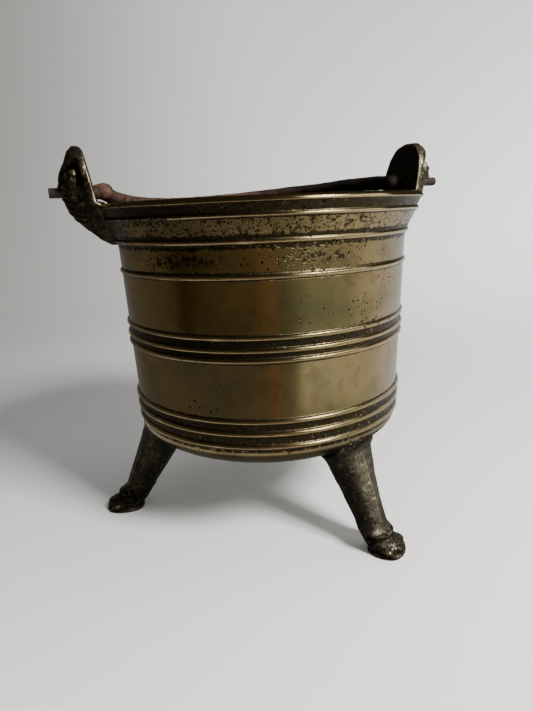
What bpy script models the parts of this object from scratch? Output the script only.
"""Tripod cauldron: a bronze pot cast in one with three paw feet and two bust-shaped lugs, and its iron bail.

Metres, +Z up, floor at z = 0, front towards -Y. The line through the bail's pins runs along X, a little
behind the pot's axis.
"""

import math

import bmesh
import bpy
from mathutils import Matrix, Vector

# Pot: heights are depths below the rim unless named otherwise
RIM_HEIGHT = 0.1738
RIM_RADIUS = 0.0848
WALL = 0.0045
LIP_HEIGHT = 0.0022
LIP_ROUND = 0.0006
LIP_GROOVE = 0.0007
NECK_DEPTH = 0.0160
NECK_INSET = 0.0070
NECK_RADIUS = RIM_RADIUS - NECK_INSET
DRUM_DEPTH = 0.0205
DRUM_STEP = 0.0016
DRUM_TOP_RADIUS = NECK_RADIUS - DRUM_STEP
DRUM_TAPER = 0.0034
DRUM_FOOT_RADIUS = DRUM_TOP_RADIUS - DRUM_TAPER
BOWL_DEPTH = 0.1150
BOWL_DROP = 0.0190
BOWL_STEPS = 7
HOLLOW_STEPS = 5
RING_SEGMENTS = 44
MERGE_DISTANCE = 0.00001
SHARP_ANGLE = math.radians(35)

# Turned beads: depth of the crest, half the height, how far it stands proud of the wall
BEAD_FLAT = 0.45
BEADS = (
    (0.0076, 0.0015, 0.0008),
    (0.0182, 0.0018, 0.0011),
    (0.0328, 0.0017, 0.0010),
    (0.0592, 0.0019, 0.0011),
    (0.0647, 0.0019, 0.0013),
    (0.0697, 0.0018, 0.0013),
    (0.0995, 0.0021, 0.0015),
    (0.1060, 0.0021, 0.0015),
    (0.1128, 0.0018, 0.0012),
)

# Legs, no two quite alike: angle from the front (-Y) towards +X, length and width of the paw's sole, and the
# angle that the paw turns away from the leg
LEGS = (
    (-96.75, 0.0215, 0.0167, 0),
    (23.25, 0.0187, 0.0192, 20),
    (143.25, 0.0200, 0.0180, 8),
)
LEG_ROOT_SINK = 0.0005
LEG_ROOT_HEIGHT = RIM_HEIGHT - BOWL_DEPTH - LEG_ROOT_SINK
LEG_ROOT_INSET = 0.0015
LEG_ROOT_OUTER = DRUM_FOOT_RADIUS - LEG_ROOT_INSET
LEG_ROOT_THICKNESS = 0.0293
LEG_ROOT_INNER = LEG_ROOT_OUTER - LEG_ROOT_THICKNESS
LEG_ROOT_WIDTH = 0.0302
ANKLE_HEIGHT = 0.0148
ANKLE_INSET = 0.0030
ANKLE_INNER = DRUM_FOOT_RADIUS - ANKLE_INSET
ANKLE_THICKNESS = 0.0168
ANKLE_OUTER = ANKLE_INNER + ANKLE_THICKNESS
ANKLE_WIDTH = 0.0146
ANKLE_MIDDLE = (ANKLE_INNER + ANKLE_OUTER) / 2
LEG_RINGS = 8
LEG_SIDES = 12
LEG_INNER_CURVE = 1.15
LEG_OUTER_CURVE = 1.25
LEG_WIDTH_CURVE = 1.35
SQUARENESS_ALONG = 0.75
SQUARENESS_ACROSS = 0.85

# Paw sections, as shares: height of the ankle's, inner and outer end of the sole's length, width of the paw's
PAW_SECTIONS = (
    (0.82, -0.31, 0.54, 0.86),
    (0.70, -0.25, 0.66, 0.89),
    (0.58, -0.20, 0.73, 0.84),
    (0.44, -0.13, 0.79, 0.88),
    (0.27, -0.04, 0.82, 0.88),
    (0.08, 0.08, 0.78, 0.82),
)
HEEL_SHARE = 0.476
FOOT_HEEL = ANKLE_INNER + HEEL_SHARE * ANKLE_THICKNESS
SOLE_THICKNESS = 0.0018
SOLE_EDGE = 0.0006
SOLE_FOOT_EDGE = 0.0002
SOLE_SIDES = 20
SOLE_SQUARENESS = 0.85
TOE_COUNT = 4
TOE_SPLAY = 0.22
TOE_HALF_LENGTH = 0.0046
TOE_HALF_HEIGHT = 0.0034
TOE_SPACING = 0.24
TOE_FATNESS = 0.56
TOE_INSET = 0.0003
TOE_CURVE = 0.0012
TOE_SINK = 0.0006
TOE_SHRINK = 0.12

# Lugs: heights are above the rim
LUG_HEIGHT = 0.0274
LUG_DROP = 0.0205
LUG_HALF_WIDTH = 0.0190
LUG_ARCH = 3.4
LUG_TAIL = 1.5
LUG_PLATE = 0.0030
LUG_SETBACK = 0.0009
LUG_SLOPE = 0.18
LUG_CROWN = 0.0020
LUG_BACK_TAPER = 0.92
HEAD_HEIGHT = 0.0088
HEAD_WIDTH = 0.0104
HEAD_DEPTH = 0.0076
HEAD_REACH = 0.0084
HEAD_RISE = 0.0004
ARM_LENGTH = 0.0150
ARM_WIDTH = 0.0050
ARM_DEPTH = 0.0070
ARM_REACH = 0.0084
ARM_SPREAD = 0.0100
ARM_RISE = 0.0030
ARM_ROLL = 0.22

# Bust in side view: height above the rim, reach beyond the rim, half-width and squareness of the raised part
BUST_STATIONS = (
    (-0.0202, -0.0056, 0.0010, 2),
    (-0.0170, -0.0002, 0.0036, 2),
    (-0.0125, 0.0045, 0.0056, 2),
    (-0.0080, 0.0098, 0.0070, 2),
    (-0.0030, 0.0134, 0.0084, 2),
    (0.0028, 0.0152, 0.0112, 2),
    (0.0085, 0.0168, 0.0138, 3),
    (0.0120, 0.0162, 0.0130, 3),
    (0.0150, 0.0154, 0.0092, 2),
    (0.0175, 0.0144, 0.0110, 3),
    (0.0198, 0.0124, 0.0138, 5),
    (0.0228, 0.0112, 0.0134, 5),
    (0.0254, 0.0104, 0.0100, 4),
    (0.0271, 0.0082, 0.0052, 3),
)
LUG_FRONT_POINTS = 13
LUG_BACK_SHARES = (1, 0.4, -0.4, -1)

# Bail: the line through its pins lies a little behind the pot's axis
HINGE_BEHIND = 0.0020
PIN_HEIGHT = 0.0061
PIN_RADIUS = 0.0026
PIN_TAPER = 0.94
PIN_REACH = {"right": RIM_RADIUS + 0.0231, "left": RIM_RADIUS + 0.0214}
PIN_PLAY = 0.0004
KNUCKLE_RADIUS = 0.0041
KNUCKLE_HALF_LENGTH = 0.0042
KNUCKLE_PLAY = 0.0005
BAIL_INSET = 0.0087
BAIL_REACH = RIM_RADIUS - BAIL_INSET
BAR_RADIUS = 0.0027
BAR_END_RADIUS = 0.0037
BAR_TAPER = 0.8
BAIL_STEPS = 32

# The hoop is bent out of true: one arm leaves its knuckle upwards, the other dips inside the mouth
BAIL_DROP = 0.0035
BAIL_SKEW = 0.0026
BAIL_KINK = 0.0011
KINK_END = 0.25
BAIL_PINCH = 0.0036

SIDES = {"right": 1, "left": -1}


def foot_middle(length):
    return FOOT_HEEL + length / 2


def foot_reach(direction, azimuth, length, width, paw_turn):
    """How far a paw stands out from the pot's axis in this direction. Angles are in degrees, as above."""
    turn = math.radians(azimuth - direction)
    paw = turn + math.radians(paw_turn)
    middle = ANKLE_MIDDLE * math.cos(turn) + (foot_middle(length) - ANKLE_MIDDLE) * math.cos(paw)
    return middle + math.hypot(length * math.cos(paw), width * math.sin(paw)) / 2


def lug_back(height):
    """Distance of a lug's inner face from the pot's axis, at this height above the rim."""
    crown = max(0, height - (LUG_HEIGHT - LUG_CROWN))
    return RIM_RADIUS - LUG_SETBACK + LUG_SLOPE * height + crown


HINGE_HEIGHT = RIM_HEIGHT + PIN_HEIGHT
BAIL_RADIUS = lug_back(PIN_HEIGHT) - KNUCKLE_PLAY - KNUCKLE_HALF_LENGTH

# The origin lies under the middle of the overall box, so the pot's axis stands a little behind it
FRONT_REACH = max(foot_reach(0, *sizes) for sizes in LEGS)
REAR_REACH = max(RIM_RADIUS, *(foot_reach(180, *sizes) for sizes in LEGS))
AXIS_OFFSET = (FRONT_REACH - REAR_REACH) / 2


def wall_radius(depth):
    """Outer radius of the plain wall between the beads, at this depth below the rim."""
    if depth < NECK_DEPTH:
        share = (depth - LIP_HEIGHT) / (NECK_DEPTH - LIP_HEIGHT)
        return RIM_RADIUS + (NECK_RADIUS - RIM_RADIUS) * share
    if depth < DRUM_DEPTH:
        share = (depth - NECK_DEPTH) / (DRUM_DEPTH - NECK_DEPTH)
        return NECK_RADIUS + (DRUM_TOP_RADIUS - NECK_RADIUS) * share
    share = (depth - DRUM_DEPTH) / (BOWL_DEPTH - DRUM_DEPTH)
    return DRUM_TOP_RADIUS + (DRUM_FOOT_RADIUS - DRUM_TOP_RADIUS) * share


def bowl(radius, drop, steps):
    """Quarter ellipse from the drum's foot to the axis, as radius and depth below the drum's foot."""
    angles = [math.pi / 2 * step / steps for step in range(1, steps + 1)]
    return [(radius * math.cos(angle), drop * math.sin(angle)) for angle in angles]


def outer_outline():
    """Radius and depth of the pot's outside, from the middle of the mouth down to the bowl's lowest point."""
    outline = [(0, 0), (RIM_RADIUS - LIP_ROUND, 0), (RIM_RADIUS, LIP_ROUND), (RIM_RADIUS, LIP_HEIGHT)]
    groove_end = BEADS[0][0] - BEADS[0][1]
    for depth in (LIP_HEIGHT + LIP_GROOVE, groove_end):
        outline.append((wall_radius(depth) - LIP_GROOVE, depth))
    for depth, half, proud in BEADS:
        for share, rise in ((-1, 0), (-BEAD_FLAT, 1), (BEAD_FLAT, 1), (1, 0)):
            outline.append((wall_radius(depth + share * half) + rise * proud, depth + share * half))
    outline.append((DRUM_FOOT_RADIUS, BOWL_DEPTH))
    for radius, drop in bowl(DRUM_FOOT_RADIUS, BOWL_DROP, BOWL_STEPS):
        outline.append((radius, BOWL_DEPTH + drop))
    return outline


def inner_outline():
    """Radius and depth of the hollow, from above the mouth down to the inside of the bowl."""
    mouth = wall_radius(LIP_HEIGHT) - WALL
    outline = [(0, -WALL), (mouth + LIP_ROUND, -WALL), (mouth + LIP_ROUND, 0), (mouth, LIP_ROUND)]
    for depth in (NECK_DEPTH, DRUM_DEPTH, BOWL_DEPTH):
        outline.append((wall_radius(depth) - WALL, depth))
    for radius, drop in bowl(DRUM_FOOT_RADIUS - WALL, BOWL_DROP - WALL, HOLLOW_STEPS):
        outline.append((radius, BOWL_DEPTH + drop))
    return outline


def material(name, colour, roughness, metallic):
    made = bpy.data.materials.new(name)
    made.use_nodes = True
    shader = made.node_tree.nodes["Principled BSDF"]
    shader.inputs["Base Color"].default_value = (*colour, 1)
    shader.inputs["Roughness"].default_value = roughness
    shader.inputs["Metallic"].default_value = metallic
    return made


def mesh_object(name, shape, collection):
    """The object that holds this bmesh, in the collection and under the pot's axis."""
    mesh = bpy.data.meshes.new(name)
    shape.to_mesh(mesh)
    shape.free()
    mesh.shade_smooth()
    mesh.set_sharp_from_angle(angle=SHARP_ANGLE)
    made = bpy.data.objects.new(name, mesh)
    made.parent = pot_axis
    collection.objects.link(made)
    return made


def turned(name, outline, collection):
    """A solid turned about the pot's axis from its radius and depth outline."""
    shape = bmesh.new()
    points = [shape.verts.new((radius, 0, RIM_HEIGHT - depth)) for radius, depth in outline]
    for first, second in zip(points, points[1:]):
        shape.edges.new((first, second))
    made = mesh_object(name, shape, collection)
    screw = made.modifiers.new("Turn", "SCREW")
    screw.steps = RING_SEGMENTS
    screw.render_steps = RING_SEGMENTS
    screw.use_merge_vertices = True
    screw.merge_threshold = MERGE_DISTANCE
    return made


def loft(shape, rings):
    """Adds the closed skin through these rings of points to the bmesh."""
    rows = [[shape.verts.new(point) for point in ring] for ring in rings]
    for lower, upper in zip(rows, rows[1:]):
        for index in range(len(lower)):
            after = (index + 1) % len(lower)
            shape.faces.new((lower[index], lower[after], upper[after], upper[index]))
    shape.faces.new(list(reversed(rows[0])))
    shape.faces.new(rows[-1])
    bmesh.ops.recalc_face_normals(shape, faces=shape.faces)


def boolean(target, tool, operation):
    cut = target.modifiers.new(tool.name, "BOOLEAN")
    cut.operation = operation
    cut.object = tool
    cut.solver = "EXACT"


def helper(made):
    made.hide_render = True
    made.display_type = "WIRE"
    return made


def leg_ring(inner, outer, width, height):
    """A leg's level section: round towards the pot, squarer on its outer face, along +X."""
    middle = (inner + outer) / 2
    half_depth = (outer - inner) / 2
    ring = []
    for side in range(LEG_SIDES):
        angle = 2 * math.pi * side / LEG_SIDES
        along = math.cos(angle)
        across = math.sin(angle)
        if along > 0:
            along = along**SQUARENESS_ALONG
            across = math.copysign(abs(across) ** SQUARENESS_ACROSS, across)
        ring.append(Vector((middle + half_depth * along, width / 2 * across, height)))
    return ring


def leg_rings():
    for step in range(LEG_RINGS):
        share = step / (LEG_RINGS - 1)
        yield leg_ring(
            LEG_ROOT_INNER + (ANKLE_INNER - LEG_ROOT_INNER) * share**LEG_INNER_CURVE,
            LEG_ROOT_OUTER + (ANKLE_OUTER - LEG_ROOT_OUTER) * share**LEG_OUTER_CURVE,
            ANKLE_WIDTH + (LEG_ROOT_WIDTH - ANKLE_WIDTH) * (1 - share) ** LEG_WIDTH_CURVE,
            LEG_ROOT_HEIGHT + (ANKLE_HEIGHT - LEG_ROOT_HEIGHT) * share,
        )


def ankle_turn(angle):
    """The turn of a paw about the upright line through its ankle."""
    middle = Vector((ANKLE_MIDDLE, 0, 0))
    turn = Matrix.Rotation(math.radians(angle), 4, "Z")
    return Matrix.Translation(middle) @ turn @ Matrix.Translation(-middle)


def paw_rings(length, width, turn):
    """Sections of the paw between the ankle and the sole: cuff, notch, pad and heel."""
    for height_share, inner_share, outer_share, width_share in PAW_SECTIONS:
        ring = leg_ring(
            FOOT_HEEL + inner_share * length,
            FOOT_HEEL + outer_share * length,
            width_share * width,
            height_share * ANKLE_HEIGHT,
        )
        yield [ankle_turn(turn * (1 - height_share)) @ point for point in ring]


def sole_ring(height, inset, length, width):
    """The flat sole's rounded outline."""
    half_length = length / 2 - inset
    ring = []
    for side in range(SOLE_SIDES):
        angle = 2 * math.pi * side / SOLE_SIDES
        along = math.copysign(abs(math.cos(angle)) ** SOLE_SQUARENESS, math.cos(angle))
        across = math.copysign(abs(math.sin(angle)) ** SOLE_SQUARENESS, math.sin(angle))
        reach = foot_middle(length) + half_length * along
        ring.append(Vector((reach, (width / 2 - inset) * across, height)))
    return ring


def toe(place, length, width):
    """One toe, an egg along the paw. The place counts from the middle of the paw."""
    pitch = width * TOE_SPACING
    reach = FOOT_HEEL + length - TOE_HALF_LENGTH - TOE_INSET - TOE_CURVE * place**2
    half_height = TOE_HALF_HEIGHT * (1 - TOE_SHRINK * abs(place))
    shape = bmesh.new()
    bmesh.ops.create_uvsphere(shape, u_segments=8, v_segments=6, radius=1)
    bmesh.ops.scale(shape, vec=(TOE_HALF_LENGTH, pitch * TOE_FATNESS, half_height), verts=shape.verts)
    splay = Matrix.Rotation(place * TOE_SPLAY, 3, "Z")
    bmesh.ops.rotate(shape, cent=(0, 0, 0), matrix=splay, verts=shape.verts)
    middle = (reach, place * pitch, SOLE_THICKNESS - TOE_SINK + half_height)
    bmesh.ops.translate(shape, vec=middle, verts=shape.verts)
    return shape


def leg(number, azimuth, length, width, paw_turn):
    """One leg's pieces as helper objects: the limb with its paw, the sole and the toes."""
    limb = bmesh.new()
    loft(limb, [*leg_rings(), *paw_rings(length, width, paw_turn)])
    sole = bmesh.new()
    levels = ((SOLE_THICKNESS, SOLE_EDGE), (SOLE_THICKNESS / 2, 0), (0, SOLE_FOOT_EDGE))
    loft(sole, [sole_ring(height, inset, length, width) for height, inset in levels])
    pieces = {"limb": limb, "sole": sole}
    for toe_number in range(TOE_COUNT):
        pieces[f"toe_{toe_number + 1}"] = toe(toe_number - (TOE_COUNT - 1) / 2, length, width)
    for name, shape in pieces.items():
        if name != "limb":
            bmesh.ops.transform(shape, matrix=ankle_turn(paw_turn), verts=shape.verts)

    turn = Matrix.Rotation(math.radians(azimuth - 90), 4, "Z")
    made = []
    for name, shape in pieces.items():
        bmesh.ops.transform(shape, matrix=turn, verts=shape.verts)
        made.append(helper(mesh_object(f"leg_{number}_{name}", shape, cutters)))
    return made


def plate_half_width(height):
    """Half the width of a lug's plate: an arch above the rim and a tail that runs out below it."""
    if height > 0:
        return LUG_HALF_WIDTH * (1 - (height / LUG_HEIGHT) ** LUG_ARCH) ** 0.5
    return LUG_HALF_WIDTH * (1 - (-height / LUG_DROP) ** LUG_TAIL)


def lug_ring(height, reach, relief, squareness):
    """A lug's level section, its inner face towards the pot's axis and the bust raised on its front."""
    half = plate_half_width(height)
    relief = min(relief, half)
    back = lug_back(height) if height > 0 else wall_radius(-height) - WALL / 2
    edge = back + (LUG_PLATE if height > 0 else WALL / 2)
    rise = max(RIM_RADIUS + reach - edge, 0)
    ring = []
    for step in range(LUG_FRONT_POINTS):
        across = math.sin(math.pi * (step / (LUG_FRONT_POINTS - 1) - 0.5)) * half
        swell = max(0, 1 - abs(across / relief) ** squareness)
        ring.append(Vector((edge + rise * swell, across, RIM_HEIGHT + height)))
    for share in LUG_BACK_SHARES:
        ring.append(Vector((back, share * half * LUG_BACK_TAPER, RIM_HEIGHT + height)))
    return ring


def egg(depth, width, height, place, roll=0):
    """An egg of these full sizes at this place, rolled about the outward direction."""
    shape = bmesh.new()
    bmesh.ops.create_uvsphere(shape, u_segments=10, v_segments=7, radius=0.5)
    bmesh.ops.scale(shape, vec=(depth, width, height), verts=shape.verts)
    bmesh.ops.rotate(shape, cent=(0, 0, 0), matrix=Matrix.Rotation(roll, 3, "X"), verts=shape.verts)
    bmesh.ops.translate(shape, vec=place, verts=shape.verts)
    return shape


def lug(side):
    """One lug's pieces as helper objects: the plate with its bust, the head and the arms."""
    plate = bmesh.new()
    loft(plate, [lug_ring(*station) for station in BUST_STATIONS])
    head_place = (RIM_RADIUS + HEAD_REACH, 0, RIM_HEIGHT + LUG_HEIGHT + HEAD_RISE - HEAD_HEIGHT / 2)
    pieces = {"plate": plate, "head": egg(HEAD_DEPTH, HEAD_WIDTH, HEAD_HEIGHT, head_place)}
    for name, hand in (("arm_1", 1), ("arm_2", -1)):
        place = (RIM_RADIUS + ARM_REACH, hand * ARM_SPREAD, HINGE_HEIGHT + ARM_RISE)
        pieces[name] = egg(ARM_DEPTH, ARM_WIDTH, ARM_LENGTH, place, -hand * ARM_ROLL)

    turn = Matrix.Rotation(0 if SIDES[side] > 0 else math.pi, 4, "Z")
    to_hinge = Matrix.Translation((0, HINGE_BEHIND, 0)) @ turn
    made = []
    for name, shape in pieces.items():
        bmesh.ops.transform(shape, matrix=to_hinge, verts=shape.verts)
        made.append(helper(mesh_object(f"lug_{side}_{name}", shape, cutters)))
    return made


def make_cauldron():
    pot = turned("cauldron", outer_outline(), cauldron_collection)
    for number, sizes in enumerate(LEGS):
        for piece in leg(number + 1, *sizes):
            boolean(pot, piece, "UNION")
    for side in SIDES:
        for piece in lug(side):
            boolean(pot, piece, "UNION")
    boolean(pot, helper(turned("hollow", inner_outline(), cutters)), "DIFFERENCE")

    holes = bmesh.new()
    bmesh.ops.create_cone(
        holes,
        cap_ends=True,
        segments=16,
        radius1=PIN_RADIUS + PIN_PLAY,
        radius2=PIN_RADIUS + PIN_PLAY,
        depth=2 * max(PIN_REACH.values()),
        matrix=Matrix.Translation((0, HINGE_BEHIND, HINGE_HEIGHT)) @ Matrix.Rotation(math.pi / 2, 4, "Y"),
    )
    boolean(pot, helper(mesh_object("pin_holes", holes, cutters)), "DIFFERENCE")
    pot.data.materials.append(material("bronze", (0.30, 0.22, 0.09), 0.38, 0.9))
    return pot


def bail_point(share):
    """The bar's centre at this share of the hoop from the right knuckle, and its thickness there."""
    angle = math.pi * share
    lift = BAIL_SKEW * math.sin(2 * angle) - BAIL_DROP * math.sin(angle)
    if share < KINK_END:
        lift += BAIL_KINK * math.sin(angle / KINK_END)
    inset = 1 - BAIL_PINCH / BAIL_RADIUS * max(0, -math.sin(2 * angle))
    place = (BAIL_RADIUS * math.cos(angle) * inset, BAIL_REACH * math.sin(angle) * inset, lift)
    radius = BAR_END_RADIUS + (BAR_RADIUS - BAR_END_RADIUS) * math.sin(angle) ** BAR_TAPER
    return place, radius


def bail_bar():
    """The bent bar as a mesh, made from a curve through its points."""
    route = bpy.data.curves.new("bail_bar", "CURVE")
    route.dimensions = "3D"
    route.bevel_depth = BAR_RADIUS
    route.bevel_resolution = 2
    route.use_fill_caps = True
    spline = route.splines.new("POLY")
    spline.points.add(BAIL_STEPS)
    for step, point in enumerate(spline.points):
        place, radius = bail_point(step / BAIL_STEPS)
        point.co = (*place, 1)
        point.radius = radius / BAR_RADIUS
    guide = bpy.data.objects.new("bail_bar", route)
    cutters.objects.link(guide)
    bar = bpy.data.meshes.new_from_object(guide.evaluated_get(bpy.context.evaluated_depsgraph_get()))
    bpy.data.objects.remove(guide)
    shape = bmesh.new()
    shape.from_mesh(bar)
    bmesh.ops.remove_doubles(shape, verts=shape.verts, dist=MERGE_DISTANCE)
    bpy.data.meshes.remove(bar)
    return shape


def make_bail():
    """The bail lies on +Y in its own frame, whose origin is the middle of the line through the pins."""
    bail = mesh_object("bail_handle", bail_bar(), cauldron_collection)
    for side, sign in SIDES.items():
        knuckle = bmesh.new()
        bmesh.ops.create_uvsphere(knuckle, u_segments=12, v_segments=8, radius=1)
        sizes = (KNUCKLE_HALF_LENGTH, KNUCKLE_RADIUS, KNUCKLE_RADIUS)
        bmesh.ops.scale(knuckle, vec=sizes, verts=knuckle.verts)
        bmesh.ops.translate(knuckle, vec=(sign * BAIL_RADIUS, 0, 0), verts=knuckle.verts)
        length = PIN_REACH[side] - BAIL_RADIUS
        outwards = Matrix.Rotation(sign * math.pi / 2, 4, "Y")
        pin = bmesh.new()
        bmesh.ops.create_cone(
            pin,
            cap_ends=True,
            segments=14,
            radius1=PIN_RADIUS,
            radius2=PIN_RADIUS * PIN_TAPER,
            depth=length,
            matrix=Matrix.Translation((sign * (BAIL_RADIUS + length / 2), 0, 0)) @ outwards,
        )
        for name, shape in ((f"knuckle_{side}", knuckle), (f"pin_{side}", pin)):
            tool = helper(mesh_object(name, shape, cutters))
            tool.parent = bail
            boolean(bail, tool, "UNION")
    bail.location = (0, HINGE_BEHIND, HINGE_HEIGHT)
    bail.data.materials.append(material("iron", (0.10, 0.055, 0.04), 0.75, 0.5))
    return bail


for old in list(bpy.data.objects):
    bpy.data.objects.remove(old)

cauldron_collection = bpy.data.collections.new("tripod_cauldron")
cutters = bpy.data.collections.new("cutters")
for collection in (cauldron_collection, cutters):
    bpy.context.scene.collection.children.link(collection)

pot_axis = bpy.data.objects.new("pot_axis", None)
pot_axis.location = (0, AXIS_OFFSET, 0)
cauldron_collection.objects.link(pot_axis)

make_cauldron()
make_bail()
